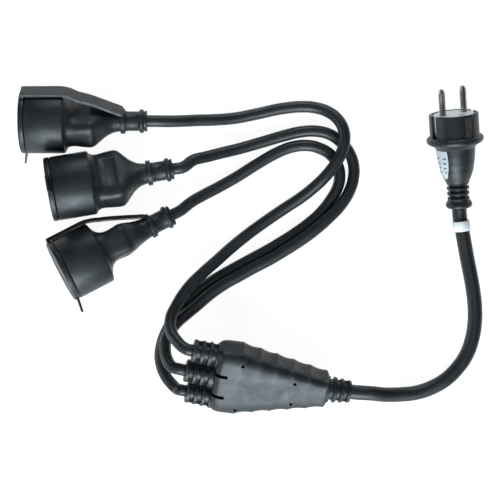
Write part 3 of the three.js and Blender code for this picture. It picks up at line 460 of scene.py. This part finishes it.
class CORDSPLITTER_OT_stage(bpy.types.Operator):
    """Adds the pale floor, the soft lamps, the world and the camera straight above"""

    bl_idname = "cord_splitter.stage"
    bl_label = "Stage"

    def execute(self, context):
        scene = context.scene
        bm = bmesh.new()
        bmesh.ops.create_grid(bm, x_segments=2, y_segments=2, size=3.0)
        floor = bpy.data.objects.new("floor", mesh_of(bm, "floor"))
        scene.collection.objects.link(floor)
        surface = bpy.data.materials.new("pale floor")
        surface.use_nodes = True
        tree = surface.node_tree
        tree.nodes.clear()
        out = tree.nodes.new("ShaderNodeOutputMaterial")
        path = tree.nodes.new("ShaderNodeLightPath")
        direct = path.outputs["Is Camera Ray"]
        for kind in ("Is Glossy Ray", "Is Transmission Ray"):
            either = tree.nodes.new("ShaderNodeMath")
            either.operation = "MAXIMUM"
            tree.links.new(direct, either.inputs[0])
            tree.links.new(path.outputs[kind], either.inputs[1])
            direct = either.outputs[0]
        plain = tree.nodes.new("ShaderNodeBsdfDiffuse")
        plain.inputs["Color"].default_value = (0.62, 0.62, 0.63, 1)
        shown = tree.nodes.new("ShaderNodeBsdfDiffuse")
        shown.inputs["Color"].default_value = (0.26, 0.26, 0.26, 1)
        glow = tree.nodes.new("ShaderNodeEmission")
        glow.inputs["Color"].default_value = (1, 1, 1, 1)
        glow.inputs["Strength"].default_value = 0.92
        both = tree.nodes.new("ShaderNodeAddShader")
        tree.links.new(shown.outputs[0], both.inputs[0])
        tree.links.new(glow.outputs[0], both.inputs[1])
        mix = tree.nodes.new("ShaderNodeMixShader")
        tree.links.new(direct, mix.inputs["Fac"])
        tree.links.new(plain.outputs[0], mix.inputs[1])
        tree.links.new(both.outputs[0], mix.inputs[2])
        tree.links.new(mix.outputs[0], out.inputs["Surface"])
        floor.data.materials.append(surface)

        world = bpy.data.worlds.new("studio")
        world.use_nodes = True
        sky = world.node_tree.nodes["Background"]
        sky.inputs["Color"].default_value = (0.95, 0.97, 1.0, 1)
        sky.inputs["Strength"].default_value = 0.09
        scene.world = world

        # Name, place, aim, width and power of each lamp
        lamps = [
            ("overhead", (0.05, -0.1, 1.6), (0.05, 0.0, 0.0), 1.2, 2.5),
            ("key", (0.0, -1.4, 0.78), (0.04, 0.0, 0.0), 1.1, 46.0),
            ("far side", (0.1, 1.4, 0.5), (0.06, 0.0, 0.0), 0.7, 7.0),
            ("left edge", (-1.4, 0.1, 0.4), (0.02, 0.0, 0.0), 0.5, 5.0),
        ]
        for name, place, aim, width, power in lamps:
            lamp = bpy.data.lights.new(name, "AREA")
            lamp.shape = "SQUARE"
            lamp.size = width
            lamp.energy = power
            lamp.color = (0.80, 0.93, 1.0)
            item = bpy.data.objects.new(name, lamp)
            item.location = place
            way = Vector(aim) - Vector(place)
            item.rotation_euler = way.to_track_quat("-Z", "Y").to_euler()
            scene.collection.objects.link(item)

        camera = bpy.data.cameras.new("camera")
        camera.lens = 105.4
        camera.sensor_width = 36.0
        camera.clip_start = 0.05
        camera.clip_end = 20.0
        item = bpy.data.objects.new("camera", camera)
        item.location = (0.047, 0.0, 1.1)
        scene.collection.objects.link(item)
        scene.camera = item
        scene.view_settings.view_transform = "Standard"
        return {"FINISHED"}


def cord_curve(name, start, end, start_way, end_way, route, diameter, material):
    """A round cord on one smooth curve from one mouth to the next, with its start and length"""
    lead_in, lead_out, sink = 4, 7, 0.2
    points = [
        start - start_way * sink * MM,
        start + start_way * (lead_in + SEAT_GAP) * MM,
        *[Vector(point) * MM for point in route],
        end + end_way * (lead_out + SEAT_GAP) * MM,
        end - end_way * sink * MM,
    ]
    line = bpy.data.curves.new(name, "CURVE")
    line.dimensions = "3D"
    line.bevel_depth = diameter / 2
    line.bevel_resolution = 6
    line.resolution_u = 8
    line.use_fill_caps = True
    spline = line.splines.new("BEZIER")
    spline.bezier_points.add(len(points) - 1)
    for knot, point in zip(spline.bezier_points, points):
        knot.co = point
        knot.handle_left_type = "AUTO"
        knot.handle_right_type = "AUTO"
    line.materials.append(material)
    cord = bpy.data.objects.new(name, line)
    bpy.context.scene.collection.objects.link(cord)
    length = sum((b - a).length for a, b in zip(points, points[1:]))
    return cord, points[0], length


def mouth(place, along):
    return place @ Vector((along, 0, 0))


def heading_of(place, sign):
    return (place.to_3x3() @ Vector((sign, 0, 0))).normalized()


def gland_turn(across, length):
    """Place of a branch gland in the block, which leans about its own middle"""
    return (
        Matrix.Translation((-length / 2, across, 0))
        @ Matrix.Rotation(-radians(GLAND_LEAN), 4, "Z")
        @ Matrix.Translation((length / 2, 0, 0))
    )


def coupler_place(spot, part):
    """Place of a coupler's mouth, turned about its axis by the angle of the body or the lid"""
    heading, pitch = spot["heading"], spot["pitch"]
    turn = (
        Matrix.Rotation(radians(heading), 4, "Z")
        @ Matrix.Rotation(radians(pitch), 4, "Y")
    )
    way = turn @ Vector((1, 0, 0))
    face = Vector(spot["face"]) + way * (LID_THICKNESS + SEAT_GAP)
    return placed(face, heading, pitch, -spot[part])


class CORDSPLITTER_OT_cords(bpy.types.Operator):
    """Lays the trunk cord and the three branch cords along their routes"""

    bl_idname = "cord_splitter.cords"
    bl_label = "Cords"

    def execute(self, context):
        sheath = cord_sheath("cord sheath", colours().sheath)
        trunk, exit_point, length = cord_curve(
            "trunk_sheath",
            mouth(BLOCK, BLOCK_LENGTH + TRUNK_GLAND), mouth(PLUG, PLUG_LENGTH),
            heading_of(BLOCK, 1), heading_of(PLUG, 1), TRUNK_ROUTE, sizes().trunk_diameter, sheath,
        )
        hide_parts("trunk_cord")
        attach(trunk, "root")
        branches = zip(COUPLERS, GLANDS, BRANCH_ROUTES)
        for number, (spot, (across, gland), route) in enumerate(branches, 1):
            root = BLOCK @ gland_turn(across, gland)
            tail = coupler_place(spot, "body")
            branch, exit_point, length = cord_curve(
                f"branch_sheath_{number}",
                mouth(root, -gland), mouth(tail, COUPLER_LENGTH),
                heading_of(root, -1), heading_of(tail, 1), route, sizes().branch_diameter, sheath,
            )
            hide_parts(f"branch_cord_{number}")
            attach(branch, "root")
        return {"FINISHED"}


def ribbed(bm, start, length, radii, slots, slot_start, slot_sizes, count, bridge_turn=0):
    """Strain relief: a core with thin rings around it and a bridge on either side"""
    start_radius, end_radius = radii
    pitch, gap, depth = slot_sizes
    chamfer = 0.25

    def radius_at(along):
        return start_radius + (end_radius - start_radius) * (along - start) / length

    profile = [(start, 0), (start, radius_at(start) - 0.5), (start + 0.4, radius_at(start))]
    for n in range(slots):
        low = slot_start + n * pitch
        high = low + gap
        profile += [
            (low - chamfer, radius_at(low)), (low, radius_at(low) - chamfer),
            (low, radius_at(low) - depth), (high, radius_at(high) - depth),
            (high, radius_at(high) - chamfer), (high + chamfer, radius_at(high)),
        ]
    profile += [(start + length, radius_at(start + length)), (start + length, 0)]
    turned(bm, profile, count)

    bridge_start, bridge_end = slot_start - 0.4, slot_start + slots * pitch - 1
    top = min(radius_at(slot_start), radius_at(bridge_end)) - 0.6
    half = 0.8
    outline = [
        (bridge_start, half), (bridge_end, half), (bridge_end, -half), (bridge_start, -half),
    ]
    turn = Matrix.Rotation(radians(bridge_turn), 3, "X")
    for sign in (-1, 1):
        bridge = bmesh.new()
        slab(bridge, outline, *outward(sign, top - depth - 0.5, top))
        bmesh.ops.rotate(bridge, verts=bridge.verts, cent=(0, 0, 0), matrix=turn)
        bm.from_mesh(mesh_of(bridge, "bridge"))


# Points of [along, radius] on the plug's grip
GRIP_LINE = [
    (24.3, 14.7), (25.5, 14.5), (31, 14.1), (37.2, 13.3), (43.3, 12.0), (47.5, 10.4),
    (51.5, 8.6),
]


def grip_radius(along):
    for (x0, r0), (x1, r1) in zip(GRIP_LINE, GRIP_LINE[1:]):
        if along <= x1 + 1e-6:
            t = (along - x0) / (x1 - x0)
            return r0 + (r1 - r0) * (t + 0.12 * t * (1 - t))
    return GRIP_LINE[-1][1]


def grip_leaf(bm, side, grow, depth, rise):
    """Leaf that follows the plug's grip, on local -Y or +Y, blunt at the flange"""
    start, length, half_width = 26.0 - grow, 22.2 + 2 * grow, 7.9
    leaf = bmesh.ops.create_grid(bm, x_segments=30, y_segments=18, size=1.0)["verts"]
    for vert in leaf:
        u, v = (vert.co.x + 1) / 2, vert.co.y
        along = start + length * u
        taper = (1 - 0.08 * (1 - u) ** 4) * (1 - u**2.6) ** 0.7
        half = (half_width * taper + 0.02) + grow
        radius = grip_radius(along) + rise
        across = v * min(half, radius * 0.97)
        vert.co = (along, side * (radius**2 - across**2) ** 0.5, across)
    bmesh.ops.recalc_face_normals(bm, faces=bm.faces)
    deep = bmesh.ops.extrude_face_region(bm, geom=list(bm.faces), use_keep_orig=True)["geom"]
    for vert in (item for item in deep if isinstance(item, bmesh.types.BMVert)):
        across = Vector((0, vert.co.y, vert.co.z))
        vert.co -= across.normalized() * (depth + max(0, rise))


class CORDSPLITTER_OT_plug(bpy.types.Operator):
    """Models the plug's moulded body and finishes its pins, carrier, inlays and bracket"""

    bl_idname = "cord_splitter.plug"
    bl_label = "Plug"

    def execute(self, context):
        rubber = moulded_rubber("moulded rubber", colours().rubber)
        front = 16.5
        grip_start = front + 9
        grip_end = grip_start + 26
        relief_end = grip_end + 13

        bm = bmesh.new()
        turned(bm, [
            (0, 0), (0, 17.5), (0.25, 17.95), (0.8, 18.2), (front - 0.6, 18.2),
            (front - 0.1, 18.4), (front + 0.2, 19.2), (front + 0.9, 20.4), (front + 1.7, 20.9),
            (front + 2.7, 21), (front + 3.9, 20.8), (front + 4.9, 20.2), (front + 5.7, 19),
            (front + 6.5, 17.3), (front + 7.5, 15.8), (grip_start, 14.6), (grip_start, 0),
        ], 96)
        shell = mesh_of(bm, "shell")
        cutters = []
        for sign in (-1, 1):
            bm = bmesh.new()
            low, high = outward(sign, 14.2, 22)
            brick(bm, (-1, low, -2.6), (front + 0.01, high, 2.6), 0.4)
            cutters.append(mesh_of(bm, "guide"))
        bm = bmesh.new()
        turned(bm, [(-1, 0), (-1, 15.7), (15.3, 15.7), (15.3, 0)], 72)
        cutters.append(mesh_of(bm, "seat"))
        bm = bmesh.new()
        brick(bm, (1.3, -3.3, -20.2), (16.8, 3.3, 20.2))
        cutters.append(mesh_of(bm, "strip"))
        shell = carved(shell, cutters)

        bm = bmesh.new()
        rings = []
        for n in range(35):
            along = grip_start - 1.2 + 27.2 * n / 34
            rings.append([along, grip_radius(along), grip_radius(along), 2])
        loft(bm, rings, 72)
        grip_mesh = mesh_of(bm, "grip")
        pockets = []
        for side in (-1, 1):
            bm = bmesh.new()
            grip_leaf(bm, side, 0.3, 1.6, 2.2)
            pockets.append(mesh_of(bm, "pocket"))
        grip_mesh = carved(grip_mesh, pockets)

        bm = bmesh.new()
        bm.from_mesh(shell)
        bm.from_mesh(grip_mesh)
        ribbed(bm, grip_end - 1, 15.5, (8.4, 8.1), 3, grip_end + 1.3, (4.1, 2.1, 2.3), 56)
        turned(bm, [
            (relief_end + 0.9, 0), (relief_end + 0.9, 8.0), (relief_end + 1.2, 8.5),
            (relief_end + 2.1, 9.2), (relief_end + 3.1, 9.7), (relief_end + 4.1, 9.9),
            (relief_end + 5.0, 9.8), (relief_end + 5.8, 9.2), (relief_end + 6.3, 8.3),
            (relief_end + 6.5, 7.5), (relief_end + 6.5, 0),
        ], 64)
        shell = piece("plug_shell", mesh_of(bm, "plug_shell"), PLUG, rubber)
        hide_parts("plug_body")

        finish_node("plug_pin_carrier", hard_plastic("pale carrier", colours().carrier, 0.45))
        inlay = hard_plastic("grip inlay", colours().inlay, 0.42)
        plated = plated_metal("nickel plate", (0.32, 0.30, 0.27), 0.3)
        for side, name in ((-1, "left"), (1, "right")):
            bm = bmesh.new()
            grip_leaf(bm, side, 0.0, 1.3, -0.12)
            leaf = mesh_of(bm, "leaf")
            slots = []
            for n in range(4):
                for across in (-1, 1):
                    bm = bmesh.new()
                    along = 31.6 + 3.6 * n
                    near, far = outward(side, 8, 22)
                    left, right = outward(across, 1.6, 5.2 - 0.55 * n)
                    brick(bm, (along - 0.5, near, left), (along + 0.5, far, right), 0.35)
                    slots.append(mesh_of(bm, "slot"))
            item = piece(f"grip_inlay_{name}", carved(leaf, slots), PLUG, inlay)
            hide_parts(f"plug_grip_inlay_{name}")
            finish_node(f"plug_pin_{name}", plated)
        finish_node("plug_earth_bracket", plated)
        return {"FINISHED"}


def finish_node(name, material):
    node = nodes[name]
    node.data.materials.clear()
    node.data.materials.append(material)


class CORDSPLITTER_OT_marker(bpy.types.Operator):
    """Slips the plain white marker sleeve over the trunk cord"""

    bl_idname = "cord_splitter.marker"
    bl_label = "Marker sleeve"

    def execute(self, context):
        finish = hard_plastic("white sleeve", (0.86, 0.86, 0.85), 0.38)
        low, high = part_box("cord_marker_sleeve")
        middle = (low + high) / 2
        away = (mouth(PLUG, PLUG_LENGTH) - middle).normalized()
        turn = Vector((1, 0, 0)).rotation_difference(away).to_matrix().to_4x4()
        place = Matrix.Translation(middle) @ turn @ Matrix.Scale(MM, 4)
        bm = bmesh.new()
        turned(bm, [
            (-3.8, 5.65), (-3.8, 6.2), (-3.5, 6.42), (3.5, 6.42), (3.8, 6.2), (3.8, 5.65),
        ], 64)
        sleeve = piece("marker_sleeve", mesh_of(bm, "marker"), place, finish)
        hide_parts("cord_marker_sleeve")
        return {"FINISHED"}


BLOCK_SQUARENESS = 4.2
SCALLOP_START = 15.6
SCALLOP_LENGTH = 12.8
SCALLOPS = 5


def narrowing(along):
    return min(1, max(0, (along - SCALLOP_START) / (SCALLOP_LENGTH * SCALLOPS)))


def block_half_width(along):
    return 27.8 - 15.4 * narrowing(along)


def block_half_height(along):
    return 14.0 - 3.3 * narrowing(along)


class CORDSPLITTER_OT_block(bpy.types.Operator):
    """Models the splice block with its scallops, glands, grooves and textured panel"""

    bl_idname = "cord_splitter.block"
    bl_label = "Splice block"

    def execute(self, context):
        rubber = moulded_rubber("moulded rubber", colours().rubber)
        depth = sizes().scallop_depth
        rings = smooth_run([
            [-3.5, 22.5, 8.6, 3.4], [-3.1, 24.6, 10.6, 3.6], [-2.0, 26.3, 12.3, 3.8],
            [0.5, 27.4, 13.5, 4.0], [4, 27.75, 13.95, 4.2], [10, 27.8, 14, 4.2],
        ], 4)
        steps = 14
        for n in range(SCALLOPS * steps + 1):
            along = SCALLOP_START + n * SCALLOP_LENGTH / steps
            wave = abs(sin(pi * n / steps)) ** 0.8
            rings.append([
                along, block_half_width(along) - depth * wave,
                block_half_height(along), BLOCK_SQUARENESS,
            ])
        rings += [[80.4, 12.0, 10.4, 3.4], [81, 11.3, 9.9, 3]]
        bm = bmesh.new()
        loft(bm, rings, 112)
        block = mesh_of(bm, "block")

        cutters = []
        for side in (-1, 1):
            for face in (-1, 1):
                bm = bmesh.new()
                low, high = outward(face, 2.8, 20)
                brick(bm, (-8, side * 9.5 - 1.5, low), (6, side * 9.5 + 1.5, high), 0.6)
                cutters.append(mesh_of(bm, "groove"))
        for along, across in ((15.6, 20.4), (15.6, -20.4), (55.5, 9.4), (55.5, -9.4)):
            bm = bmesh.new()
            peg(bm, 1.3, (along, across, 8.5), (along, across, 20), 24)
            cutters.append(mesh_of(bm, "pin hole"))
        block = carved(block, cutters)

        bm = bmesh.new()
        bm.from_mesh(block)
        for across, length in GLANDS:
            gland = bmesh.new()
            ribbed(
                gland, -length, length + 3, (8.4, 9.3), 3, -length + 2.6,
                (5.7, 3.3, 3.2), 56, -BLOCK_ROLL,
            )
            bmesh.ops.transform(gland, matrix=gland_turn(across, length), verts=gland.verts)
            bm.from_mesh(mesh_of(gland, "gland"))
        ribbed(
            bm, BLOCK_LENGTH - 2, TRUNK_GLAND + 2, (10.5, 8.2), 3, BLOCK_LENGTH + 1.6,
            (5.3, 3.0, 2.4), 60, -BLOCK_ROLL,
        )
        self.grid_panel(bm)
        body = piece("splice_block", mesh_of(bm, "splice_block"), BLOCK, rubber, sharp=32)
        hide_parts("splitter_body")

        brass = plated_metal("plain brass", (0.62, 0.47, 0.22), 0.3)
        for name in ("splice_live", "splice_neutral", "splice_earth"):
            finish_node(name, brass)
        core = hard_plastic("black moulding", (0.022, 0.024, 0.026), 0.45)
        finish_node("splice_core", core)
        return {"FINISHED"}

    def grid_panel(self, bm):
        """Rows of low square pads that fill a tapering field on the top face"""
        start, end, pitch, half_pad = 14.5, 50.0, 1.55, 0.52
        most_rows = sizes().grid_rows // 2
        columns = int((end - start) / pitch)
        for n in range(columns):
            along = start + (n + 0.5) * pitch
            reach = 11.6 - 4.6 * (along - start) / (end - start)
            half_rows = min(most_rows, int(reach / pitch))
            for k in range(-half_rows, half_rows):
                across = (k + 0.5) * pitch - 1.0
                top = self.top_at(along, across)
                brick(
                    bm, (along - half_pad, across - half_pad, top - 0.4),
                    (along + half_pad, across + half_pad, top + 0.3),
                )

    def top_at(self, along, across):
        half_width = block_half_width(along)
        half_height = block_half_height(along)
        share = min(0.98, abs(across) / half_width)
        return half_height * (1 - share**BLOCK_SQUARENESS) ** (1 / BLOCK_SQUARENESS) - 0.12


class CORDSPLITTER_OT_couplers(bpy.types.Operator):
    """Models the three coupler housings and finishes what is inside them"""

    bl_idname = "cord_splitter.couplers"
    bl_label = "Couplers"

    def execute(self, context):
        rubber = moulded_rubber("moulded rubber", colours().rubber)
        socket = hard_plastic("socket insert", (0.028, 0.030, 0.033), 0.42)
        brass = plated_metal("plain brass contact", (0.62, 0.47, 0.22), 0.3)
        clip = plated_metal("earth clip plate", (0.66, 0.64, 0.60), 0.26)
        for number, spot in enumerate(COUPLERS, 1):
            place = coupler_place(spot, "body")
            housing = piece(f"coupler_body_{number}", self.housing(), place, rubber, sharp=34)
            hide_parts(f"coupler_{number}_housing")
            finish_node(f"coupler_{number}_insert", socket)
            finish_node(f"coupler_{number}_contact_left", brass)
            finish_node(f"coupler_{number}_contact_right", brass)
            finish_node(f"coupler_{number}_earth_clip", clip)
        return {"FINISHED"}

    def housing(self):
        bm = bmesh.new()
        mouth_rings = [
            [28.0, 21.5, 21.5, 2], [0.4, 21.5, 21.5, 2], [0.1, 21.7, 21.7, 2],
            [0, 22.1, 22.1, 2], [0, 22.8, 22.8, 2], [0.25, 23.25, 23.25, 2],
            [0.8, 23.5, 23.5, 2], [14, 23.5, 23.5, 2], [26.6, 23.5, 23.5, 2],
            [27.5, 23.25, 23.25, 2], [28.1, 22.6, 22.6, 2],
        ]
        shoulder = smooth_run([
            [28.1, 22.6, 22.5, 2], [28.9, 21.4, 19.4, 2.2], [30.2, 20.5, 16.3, 2.5],
            [32.2, 19.9, 13.7, 3], [35.2, 19.7, 11.9, 3.8], [39, 19.9, 11.3, 4.6],
            [43.5, 20.1, 11.5, 5], [47.5, 20.0, 11.8, 5], [50.2, 18.7, 11.4, 4.6],
            [53.5, 15.4, 10.6, 3.8], [57.5, 11.4, 9.4, 3], [62.5, 8.5, 8.3, 2.3],
            [68, 7.6, 7.6, 2],
        ], 5)[1:]
        tail = [
            [68, 7.0, 7.0, 2], [72.4, 7.0, 7.0, 2], [72.4, 7.5, 7.5, 2], [72.8, 7.6, 7.6, 2],
            [73.6, 7.2, 7.2, 2], [81.6, 7.2, 7.2, 2], [82.2, 7.5, 7.5, 2], [82.8, 8.5, 8.5, 2],
            [83.4, 8.8, 8.8, 2], [84.6, 8.8, 8.8, 2], [85.2, 8.5, 8.5, 2], [86, 7.2, 7.2, 2],
            [86.6, 7.2, 7.2, 2], [86.8, 7.8, 7.8, 2], [87.5, 7.8, 7.8, 2],
            [87.9, 7.4, 7.4, 2],
        ]
        loft(bm, mouth_rings + shoulder + tail, 88)
        body = mesh_of(bm, "housing")
        depth = sizes().panel_depth
        cutters = []
        for sign in (-1, 1):
            bm = bmesh.new()
            low, high = outward(sign, 11.4 - depth, 20)
            brick(bm, (38.6, -11.5, low), (46.4, 11.5, high), 0.4)
            cutters.append(mesh_of(bm, "field"))
        return carved(body, cutters)


class CORDSPLITTER_OT_lids(bpy.types.Operator):
    """Models the three hinged lids with their sealing rims and pull tabs"""

    bl_idname = "cord_splitter.lids"
    bl_label = "Lids"

    def execute(self, context):
        rubber = moulded_rubber("moulded rubber", colours().rubber)
        for number, spot in enumerate(COUPLERS, 1):
            bm = bmesh.new()
            turned(bm, [
                (-0.3, 0), (-0.3, 15.9), (3.2, 15.9), (3.4, 16.1), (3.4, 18.1), (3.0, 18.5),
                (-0.3, 18.5), (-0.3, 23.1), (-0.6, 23.4), (-1.2, 23.5), (-3.2, 23.5),
                (-3.9, 23.25), (-4.3, 22.6), (-4.4, 21.8), (-4.4, 19.6), (-4.1, 19.2),
                (-3.9, 18.6), (-3.9, 0),
            ], 96)
            brick(bm, (-3.1, -6.2, -26.2), (-0.3, 6.2, -19.5), 0.5)
            root, tip = 21.5, 33.4
            lean = (tip - root) * 0.158
            slab(bm, [
                (-0.9, root), (-0.9 - lean, tip - 0.3), (-1.2 - lean, tip), (-1.9 - lean, tip),
                (-2.3 - lean, tip - 0.3), (-2.6, root),
            ], -5.5, 5.5)
            place = coupler_place(spot, "lid")
            lid = piece(
                f"lid_{number}", mesh_of(bm, "lid"), place, rubber, body=f"lid_{number}",
                edge=0.35,
            )
            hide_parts(f"coupler_{number}_lid")
        return {"FINISHED"}


class CORDSPLITTER_OT_straps(bpy.types.Operator):
    """Models the rubber strap of each lid with its neck ring, bowed where it runs down to the neck
    """

    bl_idname = "cord_splitter.straps"
    bl_label = "Straps"

    def execute(self, context):
        rubber = moulded_rubber("moulded rubber", colours().rubber)
        for number, spot in enumerate(COUPLERS, 1):
            bow = spot["bow"]
            rise = 1.6 if number == 3 else bow * 0.7
            line = smooth_run([
                (-1.1, 25), (0, 25), (13, 25), (26, 25), (32, 23.4 + bow * 0.3),
                (37.75, 19.98 + rise), (47.5, 16.7 + bow), (57.5, 12.9 + bow * 0.6),
                (66.5, 9.7), (70.7, 8.1),
            ], 5)
            taper_start = len(line) - 4
            upper, lower = [], []
            for n, (along, out) in enumerate(line):
                before, after = line[max(0, n - 1)], line[min(len(line) - 1, n + 1)]
                way = Vector((after[0] - before[0], after[1] - before[1])).normalized()
                reach = 1.2 - 0.24 * max(0, n - taper_start)
                upper.append((along - way.y * reach, -(out + way.x * reach)))
                lower.append((along + way.y * reach, -(out - way.x * reach)))
            bm = bmesh.new()
            slab(bm, upper + lower[::-1], -6.2, 6.2)
            turned(bm, [
                (68.5, 7.3), (68.5, 9.0), (68.8, 9.3), (71.6, 9.3), (71.9, 9.0), (71.9, 7.3),
            ], 64)
            place = coupler_place(spot, "lid")
            strap = piece(
                f"strap_{number}", mesh_of(bm, "strap"), place, rubber, body=None, edge=0.4,
            )
            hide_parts(f"coupler_{number}_strap")
            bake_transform(strap)
        return {"FINISHED"}


class CORDSPLITTER_PT_panel(bpy.types.Panel):
    """Lists the splitter's sizes, colours and building steps"""

    bl_idname = "CORDSPLITTER_PT_panel"
    bl_label = "Power Cord Splitter"
    bl_space_type = "VIEW_3D"
    bl_region_type = "UI"
    bl_category = "Cord Splitter"

    def draw(self, context):
        layout = self.layout
        for group in (context.scene.cord_splitter_sizes, context.scene.cord_splitter_colours):
            box = layout.box()
            for key in group.__annotations__:
                box.prop(group, key)
        for step in STEPS:
            layout.operator(f"cord_splitter.{step}")


STEPS = ("stage", "marker", "plug", "cords", "block", "couplers", "lids", "straps")

CLASSES = (
    CordSplitterSizes,
    CordSplitterColours,
    CORDSPLITTER_OT_stage,
    CORDSPLITTER_OT_marker,
    CORDSPLITTER_OT_plug,
    CORDSPLITTER_OT_cords,
    CORDSPLITTER_OT_block,
    CORDSPLITTER_OT_couplers,
    CORDSPLITTER_OT_lids,
    CORDSPLITTER_OT_straps,
    CORDSPLITTER_PT_panel,
)


def register():
    for item in CLASSES:
        bpy.utils.register_class(item)
    bpy.types.Scene.cord_splitter_sizes = PointerProperty(type=CordSplitterSizes)
    bpy.types.Scene.cord_splitter_colours = PointerProperty(type=CordSplitterColours)


def unregister():
    del bpy.types.Scene.cord_splitter_colours
    del bpy.types.Scene.cord_splitter_sizes
    for item in reversed(CLASSES):
        bpy.utils.unregister_class(item)


def main():
    register()
    for step in STEPS:
        getattr(bpy.ops.cord_splitter, step)()


if __name__ == "__main__":
    main()
